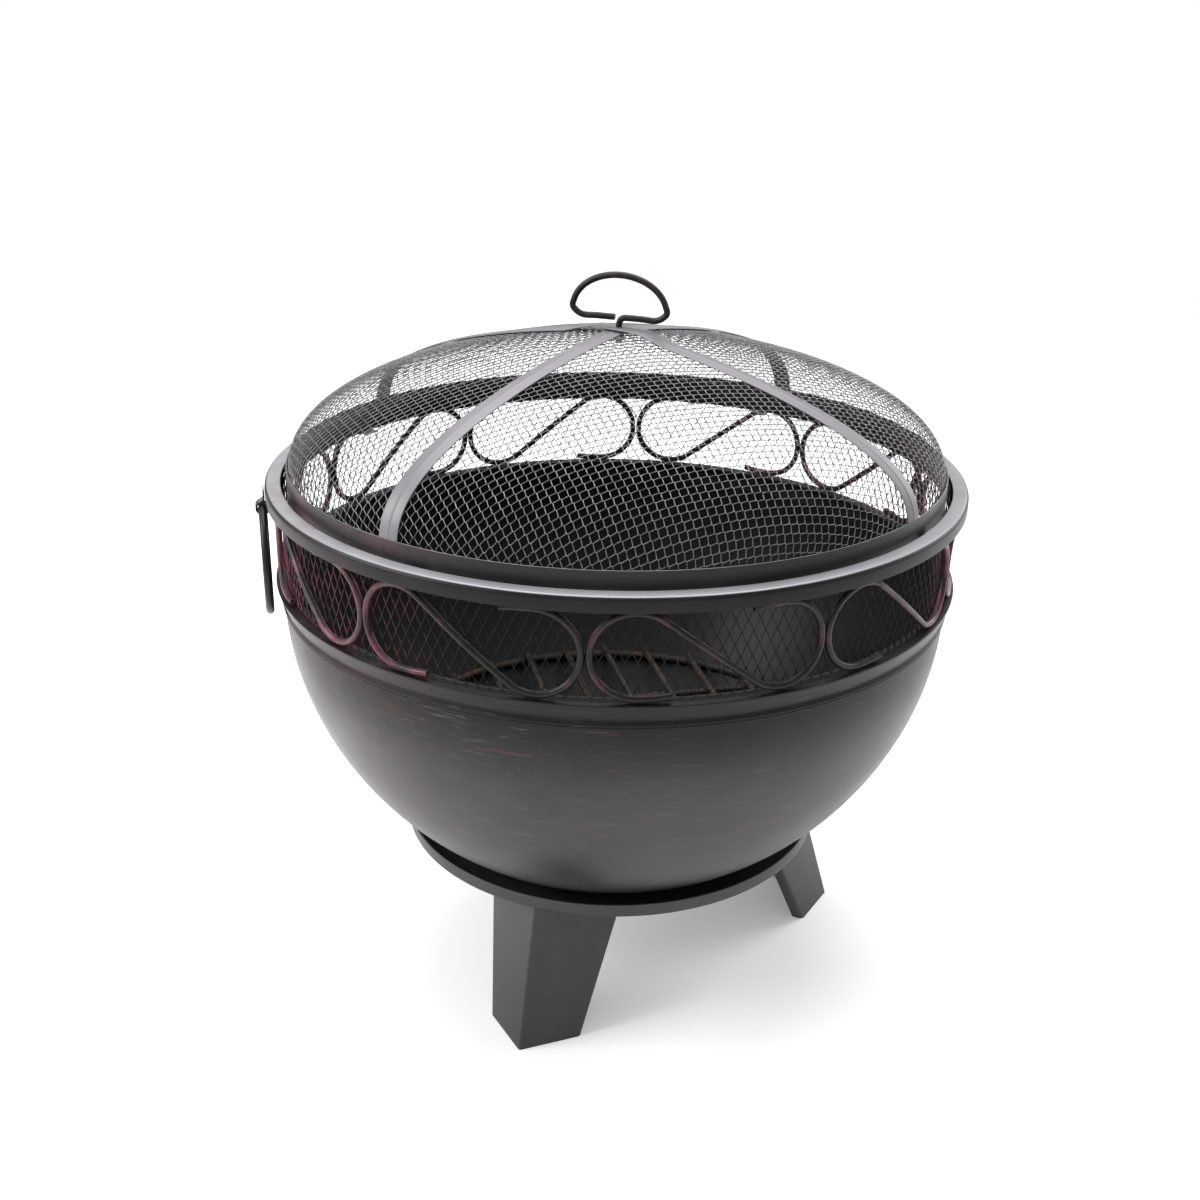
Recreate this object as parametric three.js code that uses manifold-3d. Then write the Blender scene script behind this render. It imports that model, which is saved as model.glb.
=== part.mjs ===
// A garden fire pit: a deep steel bowl on a three-legged hoop, with a scrolled mesh gallery under
// its rim, a lift-off domed spark screen, two swinging ring handles and a lift-out log grate.
// Millimetres, +Z up. The origin is on the bowl's axis at floor level, and the ring handles are on
// the X axis. A bearing is an angle in degrees round +Z, from -Y (0) towards +X (90).

import * as THREE from 'three';
import { mergeVertices } from 'three/addons/utils/BufferGeometryUtils.js';
import Module from 'manifold-3d';

const wasm = await Module();
wasm.setup();

// ---------------------------------------------------------------- driving dimensions

const GAP = 0.3;               // between pieces that touch
const ROUND_STEPS = 48;        // flats round a turned piece

const bowl = {
  radius: 320,                 // outside, at the widest part of the spun bowl
  depth: 306,                  // from the widest part down to the underside
  fullness: 1.91,              // 2 is an ellipse, less is more pointed
  wall: 2.2,
  bottomHeight: 83,            // clear of the floor
  beadHeight: 5,               // rolled bead above the widest part
  beadProud: 2.5,
  beadGroove: 3,               // height of the groove between the bead and the collar
  grooveProud: 1,              // the groove's foot beyond the bowl
  collarHeight: 16,            // upright band above the bead
  collarProud: 7,              // collar's top corner beyond the bowl
  ledgeInset: 8.5,             // ledge's inner edge inside the bowl's radius
  ledgeRise: 0.7,
  foldHeight: 3,               // the collar's last turn into the ledge
  foldProud: 1,
};

const rim = {
  rise: 94.5,                  // rim's top above the ledge's corner
  overhang: 11.5,              // rim's outside beyond the bowl's radius
  faceWidth: 15,
  skirtHeight: 13.5,
  wall: 2,
  corner: 4,
};

const band = { wall: 1.2, inset: 0.2 };            // expanded-metal band, inside the rim's inner edge

const scroll = {
  count: 10,
  rod: 6,
  rimClearance: 0.5,           // between a loop's top and the rim's skirt
  endOpening: 8.4,             // how far the free ends open off the loop
  endSweep: 39,                // degrees of loop over which they do
  bandClearance: 0.5,
  firstBearing: 0.2,           // middle of the first scroll
};

const rest = { count: 4, width: 16, sheet: 1.6, reach: 11.5, firstBearing: 45, bandClearance: 0.5 };

const screen = {
  slack: 5.1,                  // between the lid's band and the rim's inner edge
  bandHeight: 31,
  bandSheet: 1.5,
  proud: 14,                   // band's top edge above the rim's top
  meshTuck: 6,                 // mesh edge below the band's top edge
  meshThickness: 1.5,
  meshClearance: 0.4,          // between the mesh's edge and the band
  meshRise: 122,               // crown above the mesh's edge
  peak: 1.25,                  // 2 is round at the crown, less is more pointed
  fullness: 2.35,              // 2 is an ellipse, more is squarer at the shoulder
};

const strap = {
  width: 20,
  sheet: 2,
  meshClearance: 0.5,
  bearings: [-49.9, 40.1],
  humpFlat: 16,                // half the stretch where the upper strap lies on the lower one
  humpEnd: 60,                 // where it is back down on the mesh
};

const pull = {
  rod: 6,
  bearing: 56.1,
  halfWidth: 46,
  rise: 39,                    // from the bar's centre to the loop's top
  barHeight: 8.5,              // bar's centre above the upper strap
  bend: 6.5,                   // of the stem into the bar
  corner: 8,                   // of the bar into the loop
  cornerRise: 6.4,
  nutAcross: 10,
  nutHeight: 5,
  nutDrop: 1,                  // nut below the mesh at the crown
  stemEnd: 3,                  // stem below the nut
  holeClearance: 0.4,
  nutClearance: 0.3,
  endGap: 1,                   // between the rod's end and its stem
};

const ring = {
  rod: 8,
  radius: 49.6,                // to the rod's centre
  eyeWidth: 12,
  eyeSheet: 1.7,
  eyeClearance: 0.9,           // round the rod, in the eye
  eyePlate: 11,                // flat of the eye on the rim's skirt
  eyeOverlap: 2,               // flat of the eye below the skirt, into its barrel
  pivotOut: 2.7,               // pivot beyond the rim's outside
};

const hoop = { foot: 135.8, height: 13.5, sheet: 2.5, flange: 34.2, bowlClearance: 0.6 };

const leg = {
  count: 3,
  firstBearing: -33.2,
  sheet: 2.5,
  splay: 37,                   // arris at the floor beyond the hoop's outer radius
  arrisInset: 2.3,             // arris inside the hoop's outer radius, at the top
  footHalfWidth: 48,
  footDepth: 41.5,
  spread: 1.465,               // top section over foot section
  flange: 12,
};

const tab = {
  width: 24,
  sheet: 2.5,
  setIn: 17.8,                 // bolt inside the hoop's flange
  reach: 13,                   // from the bolt to the tab's inner end
  clearance: 0.7,              // under the bowl
};

const bolt = {
  thread: 6,
  holeClearance: 0.4,
  head: 13,
  headHeight: 3,
  headClearance: 1.8,          // keeps the head off the bowl's flats
  nutAcross: 10,
  nutHeight: 5,
  nutClearance: 0.3,           // round the thread
  threadEnd: 2,                // thread beyond the nut
};

const grate = {
  ringRod: 8,
  height: 200,                 // ring's centre above the floor
  barRod: 7,
  barCount: 9,
  barPitch: 46,
  crossOffset: 110,
  wallClearance: 0.9,
  crossClearance: 1,           // between a cross bar's end and the ring
};

const steel = {
  bowl: { color: 0x34322f, roughness: 0.45, metalness: 0.7 },
  rim: { color: 0x4a4849, roughness: 0.4, metalness: 0.7 },
  mesh: { color: 0x2a2a2b, roughness: 0.55, metalness: 0.6 },
  wire: { color: 0x77777a, roughness: 0.45, metalness: 0.8 },
  rod: { color: 0x3a3435, roughness: 0.4, metalness: 0.7 },
  stand: { color: 0x2f2f30, roughness: 0.5, metalness: 0.6 },
  grate: { color: 0x232322, roughness: 0.8, metalness: 0.4 },
  zinc: { color: 0x8b8b88, roughness: 0.4, metalness: 0.9 },
};

// ---------------------------------------------------------------- heights that follow

const widest = bowl.bottomHeight + bowl.depth;
const collarFoot = widest + bowl.beadHeight + bowl.beadGroove;
const ledgeCorner = collarFoot + bowl.collarHeight;
const ledgeTop = ledgeCorner + bowl.ledgeRise;
const rimTop = ledgeTop + rim.rise - bowl.ledgeRise;
const rimRadius = bowl.radius + rim.overhang;
const rimInner = rimRadius - rim.faceWidth;
const skirtFoot = rimTop - rim.skirtHeight;
const bandInner = rimInner + band.inset;
const bandOuter = bandInner + band.wall;
const loopRadius = (skirtFoot - ledgeTop - GAP - scroll.rod - scroll.rimClearance) / 2;
const lidRadius = rimInner - screen.slack;
const lidTop = rimTop + screen.proud;
const lidFoot = lidTop - screen.bandHeight;
const meshRadius = lidRadius - screen.bandSheet - screen.meshClearance;
const meshFoot = lidTop - screen.meshTuck;
const crown = meshFoot + screen.meshRise;
const upperStrapTop = crown + strap.meshClearance + 2 * strap.sheet + GAP;
const pullNutFoot = crown - screen.meshThickness - pull.nutDrop - pull.nutHeight;
const eyeBore = ring.rod / 2 + ring.eyeClearance;
const hoopTop = hoop.foot + hoop.height;

// ---------------------------------------------------------------- working with solids

const degrees = THREE.MathUtils.degToRad;
const point = (x, y) => new THREE.Vector2(x, y);
const model = new THREE.Group();

function toSolid(geometry) {
  const bare = geometry.clone();
  bare.deleteAttribute('normal');
  bare.deleteAttribute('uv');
  const merged = mergeVertices(bare, 1e-4);
  const corners = [];
  const index = merged.index.array;
  for (let i = 0; i < index.length; i += 3) {
    const [a, b, c] = [index[i], index[i + 1], index[i + 2]];
    if (a !== b && b !== c && c !== a) corners.push(a, b, c);
  }
  const places = merged.attributes.position;
  if (signedVolume(places, corners) < 0) {
    for (let i = 0; i < corners.length; i += 3) {
      [corners[i + 1], corners[i + 2]] = [corners[i + 2], corners[i + 1]];
    }
  }
  return new wasm.Manifold(new wasm.Mesh({
    numProp: 3,
    vertProperties: new Float32Array(places.array),
    triVerts: new Uint32Array(corners),
  }));
}

function signedVolume(places, corners) {
  const [a, b, c] = [new THREE.Vector3(), new THREE.Vector3(), new THREE.Vector3()];
  let sum = 0;
  for (let i = 0; i < corners.length; i += 3) {
    a.fromBufferAttribute(places, corners[i]);
    b.fromBufferAttribute(places, corners[i + 1]);
    c.fromBufferAttribute(places, corners[i + 2]);
    sum += a.dot(b.cross(c));
  }
  return sum;
}

function toGeometry(solid) {
  const mesh = solid.getMesh();
  const geometry = new THREE.BufferGeometry();
  geometry.setAttribute('position', new THREE.BufferAttribute(new Float32Array(mesh.vertProperties), 3));
  geometry.setIndex(new THREE.BufferAttribute(new Uint32Array(mesh.triVerts), 1));
  return geometry;
}

// A named piece. A solid is turned to its bearing, with its own +X pointing outwards.
function place(name, solid, finish, bearing = null) {
  const mesh = new THREE.Mesh(toGeometry(solid), new THREE.MeshStandardMaterial(finish));
  mesh.name = name;
  if (bearing !== null) mesh.rotation.z = degrees(bearing - 90);
  model.add(mesh);
  return mesh;
}

// A turned piece from a profile of [radius, height] points that closes on itself or on the axis.
function turned(profile, steps = ROUND_STEPS) {
  const points = profile.map(([radius, height]) => point(radius, height));
  if (profile[0][0] > 0) points.push(points[0].clone());
  return toSolid(new THREE.LatheGeometry(points, steps).rotateX(Math.PI / 2));
}

// An outline of [radius, height] points, extruded sideways about the radial plane.
function sheetPiece(outline, width) {
  const shape = new THREE.Shape(outline.map(([x, z]) => point(x, z)));
  const geometry = new THREE.ExtrudeGeometry(shape, { depth: width, bevelEnabled: false });
  return toSolid(geometry.translate(0, 0, -width / 2).rotateX(Math.PI / 2));
}

// A round rod of that diameter along a curve.
function rodAlong(curve, diameter, sides, steps) {
  const section = [];
  for (let i = 0; i < sides; i += 1) {
    const angle = (i + 0.5) * 2 * Math.PI / sides;
    section.push(point(Math.cos(angle) * diameter / 2, Math.sin(angle) * diameter / 2));
  }
  const options = { steps, extrudePath: curve, bevelEnabled: false };
  return toSolid(new THREE.ExtrudeGeometry(new THREE.Shape(section), options));
}

// A cylinder or a hexagonal prism standing on z = foot.
function post(radius, foot, height, sides) {
  const geometry = new THREE.CylinderGeometry(radius, radius, height, sides);
  return toSolid(geometry.rotateX(Math.PI / 2).translate(0, 0, foot + height / 2));
}

function hexNut(across, bore, foot, height) {
  return post(across / Math.sqrt(3), foot, height, 6).subtract(post(bore, foot - 1, height + 2, 12));
}

// Tilted about its own +Y and set down at a radius and a height.
function aimed(solid, tilt, radius, height) {
  const matrix = new THREE.Matrix4().makeRotationY(tilt);
  matrix.setPosition(radius, 0, height);
  return toSolid(toGeometry(solid).applyMatrix4(matrix));
}

// ---------------------------------------------------------------- the spun bowl

// A point of the bowl's curve, from the bottom (0) to the widest part (90), set in by a depth.
function bowlCurve(angle, inset) {
  const a = degrees(angle);
  const power = 2 / bowl.fullness;
  const radius = (bowl.radius - inset) * Math.sin(a) ** power;
  const height = widest - (bowl.depth - inset) * Math.cos(a) ** power;
  return [radius, height];
}

function bowlSlope(angle, inset) {
  const [r0, z0] = bowlCurve(angle - 0.1, inset);
  const [r1, z1] = bowlCurve(angle + 0.1, inset);
  return Math.atan2(z1 - z0, r1 - r0);
}

// The angle on the bowl's curve at which a measure of it reaches a value.
function bowlAngle(measure, value) {
  let [low, high] = [1, 89];
  for (let i = 0; i < 40; i += 1) {
    const middle = (low + high) / 2;
    if (measure(middle) < value) low = middle;
    else high = middle;
  }
  return low;
}

function bowlOutside() {
  const profile = [];
  for (let angle = 0; angle <= 90; angle += 9) profile.push(bowlCurve(angle, 0));
  const { radius, beadHeight, beadProud, grooveProud, collarProud, foldHeight, foldProud, ledgeInset } = bowl;
  profile.push([radius + beadProud, widest + beadHeight / 2]);
  profile.push([radius + beadProud, widest + beadHeight]);
  profile.push([radius + grooveProud, collarFoot]);
  profile.push([radius + collarProud - foldProud, ledgeCorner - foldHeight]);
  profile.push([radius + collarProud, ledgeCorner]);
  profile.push([radius - ledgeInset, ledgeTop]);
  return profile;
}

function bowlInside() {
  const profile = [];
  for (let angle = 90; angle >= 0; angle -= 10) profile.push(bowlCurve(angle, bowl.wall));
  const { radius, wall, collarProud, ledgeInset } = bowl;
  profile.unshift([radius + collarProud - 2 * wall, ledgeCorner - wall]);
  profile.unshift([radius - ledgeInset, ledgeTop - wall]);
  return profile;
}

function bowlSolid() {
  let solid = turned([...bowlOutside(), ...bowlInside()]);
  for (let i = 0; i < leg.count; i += 1) {
    const hole = toGeometry(boltShape('hole')).rotateZ(degrees(legBearing(i) - 90));
    solid = solid.subtract(toSolid(hole));
  }
  return solid;
}

// ---------------------------------------------------------------- stand: hoop, legs, tabs, bolts

const legBearing = (i) => leg.firstBearing + i * 360 / leg.count;
const hoopAngle = bowlAngle((angle) => bowlCurve(angle, 0)[1], hoop.foot + hoop.sheet);
const hoopInner = bowlCurve(hoopAngle, 0)[0] + hoop.bowlClearance;
const hoopRadius = hoopInner + hoop.flange;
const boltAngle = bowlAngle((angle) => bowlCurve(angle, 0)[0], hoopInner - tab.setIn);

// An angle ring: an upright wall with a level flange reaching in to the bowl.
function hoopSolid() {
  const { sheet, foot } = hoop;
  return turned([
    [hoopInner, foot], [hoopRadius, foot], [hoopRadius, hoopTop],
    [hoopRadius - sheet, hoopTop], [hoopRadius - sheet, foot + sheet], [hoopInner, foot + sheet],
  ]);
}

// The leg's folded sheet in plan: a right-angled outward arris with a return flange at each edge.
function legSection(arris, size) {
  const { sheet, flange } = leg;
  const edge = Math.hypot(leg.footHalfWidth, leg.footDepth);
  const [along, across] = [leg.footDepth / edge, leg.footHalfWidth / edge];
  const [half, depth] = [leg.footHalfWidth * size, leg.footDepth * size];
  const side = [
    [arris, 0],
    [arris - depth, half],
    [arris - depth - flange * across, half - flange * along],
    [arris - depth - flange * across + sheet * along, half - flange * along - sheet * across],
    [arris - depth + sheet * (along - across), half - sheet * (along + across)],
    [arris - sheet / across, 0],
  ];
  const otherSide = side.slice(1, 5).reverse().map(([x, y]) => [x, -y]);
  return [...side, ...otherSide];
}

function legSolid() {
  const height = hoop.foot - GAP;
  const foot = legSection(hoopRadius + leg.splay, 1);
  const top = legSection(hoopRadius - leg.arrisInset, leg.spread);
  const shape = new THREE.Shape(foot.map(([x, y]) => point(x, y)));
  const geometry = new THREE.ExtrudeGeometry(shape, { depth: height, bevelEnabled: false });
  const places = geometry.attributes.position;
  for (let i = 0; i < places.count; i += 1) {
    const isTop = places.getZ(i) > height / 2;
    const corner = foot.findIndex(([x, y]) => Math.hypot(x - places.getX(i), y - places.getY(i)) < 0.01);
    if (isTop) places.setXY(i, ...top[corner]);
  }
  const cradle = [];
  for (let angle = 0; angle <= 90; angle += 9) cradle.push(bowlCurve(angle, -tab.clearance));
  return toSolid(geometry).subtract(turned([...cradle, [0, widest]], ROUND_STEPS));
}

// A flat tab under the bowl at the bolt. Its outer end is welded to the edge of the hoop's flange.
function tabSolid() {
  const slope = bowlSlope(boltAngle, 0);
  const [radius, height] = bowlCurve(boltAngle, 0);
  const { reach, sheet, width, clearance } = tab;
  const base = clearance + sheet;
  const seat = ([along, depth]) => [
    radius + along * Math.cos(slope) + depth * Math.sin(slope),
    height + along * Math.sin(slope) - depth * Math.cos(slope),
  ];
  const flat = hoopInner * Math.cos(Math.PI / ROUND_STEPS);
  const edge = Math.sqrt(flat ** 2 - (width / 2) ** 2) - GAP;
  const end = (edge - radius - base * Math.sin(slope)) / Math.cos(slope);
  const outline = [[-reach, clearance], [end, clearance], [end, base], [-reach, base]].map(seat);
  return sheetPiece(outline, width).subtract(boltShape('hole'));
}

// The bolt, its nut, or the hole it passes through, in place on the bowl's slope.
function boltShape(kind) {
  const [radius, height] = bowlCurve(boltAngle, 0);
  const tilt = Math.PI - bowlSlope(boltAngle, 0);
  const nutFace = tab.clearance + tab.sheet + GAP;
  const headFace = -bowl.wall - bolt.headClearance;
  const shank = bolt.thread / 2;
  const length = nutFace + bolt.nutHeight + bolt.threadEnd - headFace;
  const pieces = {
    hole: () => post(shank + bolt.holeClearance, headFace, length, 12),
    bolt: () => post(shank, headFace - 1, length + 1, 12)
      .add(post(bolt.head / 2, headFace - bolt.headHeight, bolt.headHeight, 12)),
    nut: () => hexNut(bolt.nutAcross, shank + bolt.nutClearance, nutFace, bolt.nutHeight),
  };
  return aimed(pieces[kind](), tilt, radius, height);
}

function addStand() {
  place('base_hoop', hoopSolid(), steel.stand);
  const [legShape, tabShape] = [legSolid(), tabSolid()];
  for (let i = 0; i < leg.count; i += 1) {
    place(`leg_${i + 1}`, legShape, steel.stand, legBearing(i));
    place(`bowl_tab_${i + 1}`, tabShape, steel.stand, legBearing(i));
    place(`bowl_bolt_${i + 1}`, boltShape('bolt'), steel.zinc, legBearing(i));
    place(`bowl_nut_${i + 1}`, boltShape('nut'), steel.zinc, legBearing(i));
  }
}

// ---------------------------------------------------------------- gallery: band, scrolls, rim, rests

function bandSolid() {
  const [foot, top] = [ledgeTop + GAP, rimTop - rim.wall - GAP];
  return turned([[bandInner, foot], [bandOuter, foot], [bandOuter, top], [bandInner, top]]);
}

// One S-scroll in the flat: x along the band, z up, from its middle. The far half is the near half
// turned half a turn.
function scrollFlat(halfSpan) {
  const { endOpening, endSweep } = scroll;
  const centre = -halfSpan + loopRadius + scroll.rod / 2;
  const leave = THREE.MathUtils.radToDeg(Math.acos(loopRadius / -centre));
  const half = [];
  const start = -90 + endSweep;
  const finish = leave - 360;
  const turns = 18;
  for (let i = 0; i <= turns; i += 1) {
    const angle = start + (finish - start) * i / turns;
    const opening = endOpening * Math.max(0, (angle + 90) / endSweep) ** 2;
    const reach = loopRadius + opening;
    half.push([centre + reach * Math.cos(degrees(angle)), reach * Math.sin(degrees(angle))]);
  }
  const farHalf = half.map(([x, z]) => [-x, -z]).reverse();
  return [...half, [0, 0], ...farHalf];
}

function scrollSolid() {
  const { rod, bandClearance, count } = scroll;
  const radius = bandOuter + bandClearance + rod / 2;
  const middle = ledgeTop + GAP + rod / 2 + loopRadius;
  const halfSpan = Math.PI * radius / count - GAP;
  const points = scrollFlat(halfSpan).map(([x, z]) => {
    const turn = x / radius;
    return new THREE.Vector3(radius * Math.cos(turn), radius * Math.sin(turn), middle + z);
  });
  return rodAlong(new THREE.CatmullRomCurve3(points), rod, 6, 36);
}

function rimSolid() {
  const { wall, corner } = rim;
  const bevel = corner * (1 - Math.SQRT1_2);
  const lip = wall / 2;
  return turned([
    [rimRadius - wall, skirtFoot], [rimRadius, skirtFoot], [rimRadius, rimTop - corner],
    [rimRadius - bevel, rimTop - bevel], [rimRadius - corner, rimTop],
    [rimInner + lip, rimTop], [rimInner, rimTop - lip], [rimInner, rimTop - wall],
    [rimRadius - corner, rimTop - wall], [rimRadius - wall, rimTop - corner],
  ]);
}

// A bent strip welded inside the band; the spark screen's band stands on its foot.
function restSolid() {
  const { sheet, reach, bandClearance, width } = rest;
  const [top, shelf] = [rimTop - rim.wall - GAP, lidFoot - GAP];
  const back = bandInner * Math.cos(Math.PI / ROUND_STEPS) - bandClearance;
  const outline = [
    [back, top], [back, shelf - sheet], [back - reach, shelf - sheet],
    [back - reach, shelf], [back - sheet, shelf], [back - sheet, top],
  ];
  return sheetPiece(outline, width);
}

function addGallery() {
  place('mesh_band', bandSolid(), steel.mesh);
  place('top_rim', rimSolid(), steel.rim);
  const [scrollShape, restShape] = [scrollSolid(), restSolid()];
  for (let i = 0; i < scroll.count; i += 1) {
    const name = `scroll_${String(i + 1).padStart(2, '0')}`;
    place(name, scrollShape, steel.rod, scroll.firstBearing + i * 360 / scroll.count);
  }
  for (let i = 0; i < rest.count; i += 1) {
    place(`lid_rest_${i + 1}`, restShape, steel.rim, rest.firstBearing + i * 360 / rest.count);
  }
}

// ---------------------------------------------------------------- spark screen

// A point of the mesh dome's curve, from the crown (0) to the foot (90), set in by a depth.
function domeCurve(angle, inset) {
  const a = degrees(angle);
  const radius = (meshRadius - inset) * Math.sin(a) ** (2 / screen.peak);
  const height = (screen.meshRise - inset) * Math.cos(a) ** (2 / screen.fullness);
  return [radius, meshFoot + height];
}

function domeSolid() {
  const profile = [];
  for (let angle = 0; angle <= 90; angle += 10) profile.push(domeCurve(angle, 0));
  for (let angle = 90; angle >= 0; angle -= 10) profile.push(domeCurve(angle, screen.meshThickness));
  return turned(profile).subtract(pullHole());
}

function lidBandSolid() {
  const inner = lidRadius - screen.bandSheet;
  return turned([[inner, lidFoot], [lidRadius, lidFoot], [lidRadius, lidTop], [inner, lidTop]]);
}

// A strap in its own upright plane, standing on the lid's band and following the mesh. The upper
// one rides flat over the lower one in the middle.
function strapSolid(isUpper) {
  const { width, sheet, meshClearance, humpFlat, humpEnd } = strap;
  const face = (clearance) => {
    const raised = domeCurve(0, -clearance)[1] + sheet + GAP;
    const side = [];
    for (let angle = 0; angle <= 90; angle += 5) {
      const [x, z] = domeCurve(angle, -clearance);
      const down = isUpper ? THREE.MathUtils.smoothstep(x, humpFlat, humpEnd) : 1;
      side.push([x, Math.max(lidTop + GAP, THREE.MathUtils.lerp(raised, z, down))]);
    }
    const otherSide = side.slice(1).reverse().map(([x, z]) => [-x, z]);
    return [...otherSide, ...side];
  };
  const outline = [...face(meshClearance), ...face(meshClearance + sheet).reverse()];
  return sheetPiece(outline, width).subtract(pullHole());
}

function pullHole() {
  return post(pull.rod / 2 + pull.holeClearance, meshFoot, 2 * screen.meshRise, 12);
}

// One rod: up through the straps, along the bar, round the loop and back to the stem.
function pullSolid() {
  const { rod, halfWidth, rise, barHeight, bend, corner, cornerRise, stemEnd, endGap } = pull;
  const bar = upperStrapTop + barHeight;
  const foot = pullNutFoot - stemEnd;
  const points = [[0, foot], [0, (foot + bar - bend) / 2], [0, bar - bend], [bend * 0.3, bar - bend * 0.3]];
  points.push([bend, bar], [halfWidth / 2, bar], [halfWidth - corner, bar]);
  for (let angle = 0; angle <= 180; angle += 20) {
    const [c, s] = [Math.cos(degrees(angle)), Math.sin(degrees(angle))];
    points.push([halfWidth * c, bar + cornerRise + (rise - cornerRise) * s]);
  }
  points.push([-halfWidth + corner, bar], [-halfWidth / 2, bar], [-rod / 2 - endGap, bar]);
  const curve = new THREE.CatmullRomCurve3(points.map(([x, z]) => new THREE.Vector3(x, 0, z)));
  return rodAlong(curve, rod, 8, 60);
}

function pullNutSolid() {
  const { nutAcross, nutHeight, rod, nutClearance } = pull;
  return hexNut(nutAcross, rod / 2 + nutClearance, pullNutFoot, nutHeight);
}

function addScreen() {
  place('lid_band', lidBandSolid(), steel.rim);
  place('lid_mesh', domeSolid(), steel.wire);
  place('lid_strap_lower', strapSolid(false), steel.rim, strap.bearings[0]);
  place('lid_strap_upper', strapSolid(true), steel.rim, strap.bearings[1]);
  place('lid_handle', pullSolid(), steel.rod, pull.bearing);
  place('lid_handle_nut', pullNutSolid(), steel.zinc, pull.bearing);
}

// ---------------------------------------------------------------- swinging ring handles

const pivotRadius = rimRadius + ring.pivotOut;
const pivotHeight = skirtFoot - eyeBore - ring.eyeSheet;

function eyeSolid() {
  const { eyeWidth, eyeSheet, eyePlate, eyeOverlap } = ring;
  const centre = new THREE.Matrix4().makeRotationX(Math.PI / 2);
  centre.setPosition(pivotRadius, 0, pivotHeight);
  const across = (radius, length) => toSolid(toGeometry(post(radius, -length / 2, length, 24)).applyMatrix4(centre));
  const [back, foot, top] = [rimRadius + GAP, skirtFoot - eyeOverlap, skirtFoot + eyePlate];
  const plate = sheetPiece([[back, top], [back, foot], [back + eyeSheet, foot], [back + eyeSheet, top]], eyeWidth);
  return across(eyeBore + eyeSheet, eyeWidth).add(plate).subtract(across(eyeBore, eyeWidth + 2));
}

function ringSolid() {
  const geometry = new THREE.TorusGeometry(ring.radius, ring.rod / 2, 8, 32);
  geometry.rotateY(Math.PI / 2).translate(pivotRadius, 0, pivotHeight - ring.radius);
  return toSolid(geometry);
}

function addRingHandles() {
  for (const [side, bearing] of [['left', -90], ['right', 90]]) {
    place(`handle_eye_${side}`, eyeSolid(), steel.rim, bearing);
    place(`side_handle_${side}`, ringSolid(), steel.rod, bearing);
  }
}

// ---------------------------------------------------------------- log grate

// The grate's ring bears on the bowl's wall: its centre is a rod's radius and a clearance off the wall.
const grateOff = grate.ringRod / 2 + grate.wallClearance;
const grateSeat = (angle) => {
  const [radius, height] = bowlCurve(angle, bowl.wall);
  const slope = bowlSlope(angle, bowl.wall);
  return [radius - grateOff * Math.sin(slope), height + grateOff * Math.cos(slope)];
};
const grateRadius = grateSeat(bowlAngle((angle) => grateSeat(angle)[1], grate.height))[0];

function barSolid(length, across, height) {
  const geometry = new THREE.CylinderGeometry(grate.barRod / 2, grate.barRod / 2, length, 8);
  return toSolid(geometry.translate(across, 0, height));
}

function addGrate() {
  const { ringRod, barRod, barCount, barPitch, crossOffset, crossClearance, height } = grate;
  const circle = new THREE.TorusGeometry(grateRadius, ringRod / 2, 8, ROUND_STEPS);
  place('grate_ring', toSolid(circle.translate(0, 0, height)), steel.grate);
  const barHeight = height + ringRod / 2 + barRod / 2 + GAP;
  for (let i = 0; i < barCount; i += 1) {
    const across = (i - (barCount - 1) / 2) * barPitch;
    const length = 2 * Math.sqrt(grateRadius ** 2 - across ** 2);
    place(`grate_bar_${i + 1}`, barSolid(length, across, barHeight), steel.grate);
  }
  const inner = grateRadius * Math.cos(Math.PI / ROUND_STEPS) - ringRod / 2 - crossClearance;
  for (const [i, side] of [-1, 1].entries()) {
    const edge = crossOffset + barRod / 2;
    const length = 2 * Math.sqrt(inner ** 2 - edge ** 2);
    const level = barHeight - barRod - GAP;
    const mesh = place(`grate_cross_bar_${i + 1}`, barSolid(length, side * crossOffset, level), steel.grate);
    mesh.rotation.z = Math.PI / 2;
  }
}

// ---------------------------------------------------------------- the fire pit

place('bowl', bowlSolid(), steel.bowl);
addStand();
addGallery();
addScreen();
addRingHandles();
addGrate();

export default model;
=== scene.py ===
"""A garden fire pit: a steel bowl on a three-legged hoop, a scrolled mesh gallery under its rim,
a domed spark screen that lifts off, two ring handles and a log grate. Sizes are in millimetres
until a piece's mesh is made. A bearing is in degrees round +Z, from -Y towards +X."""
import math

import bmesh
import bpy
import numpy as np
from mathutils import Matrix, Vector


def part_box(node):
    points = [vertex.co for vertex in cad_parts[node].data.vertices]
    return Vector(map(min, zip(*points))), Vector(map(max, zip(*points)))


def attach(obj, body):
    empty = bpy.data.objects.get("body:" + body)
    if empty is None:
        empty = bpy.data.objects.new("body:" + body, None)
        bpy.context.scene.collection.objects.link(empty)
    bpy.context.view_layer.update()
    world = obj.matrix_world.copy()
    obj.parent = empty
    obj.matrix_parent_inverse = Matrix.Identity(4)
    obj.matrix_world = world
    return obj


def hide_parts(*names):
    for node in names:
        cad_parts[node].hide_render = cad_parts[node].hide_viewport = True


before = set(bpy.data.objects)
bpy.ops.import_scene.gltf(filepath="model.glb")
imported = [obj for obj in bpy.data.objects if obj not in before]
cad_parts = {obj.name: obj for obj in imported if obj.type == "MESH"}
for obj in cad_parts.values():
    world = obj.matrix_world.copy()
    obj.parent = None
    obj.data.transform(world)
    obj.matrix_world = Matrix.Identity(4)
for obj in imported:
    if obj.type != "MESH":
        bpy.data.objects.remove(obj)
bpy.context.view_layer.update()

# ---------------------------------------------------------------- bowl
# The bowl is spun from 2 mm sheet steel, with a rolled bead above its widest part and an upright
# collar folded in to a narrow ledge. It is sprayed with charcoal stove enamel and brushed round its
# sides with a little bronze paint. Painted shade darkens its collar and the faces that look in
# towards its axis, and a painted bronze sheen lies on its two sides.


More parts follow.
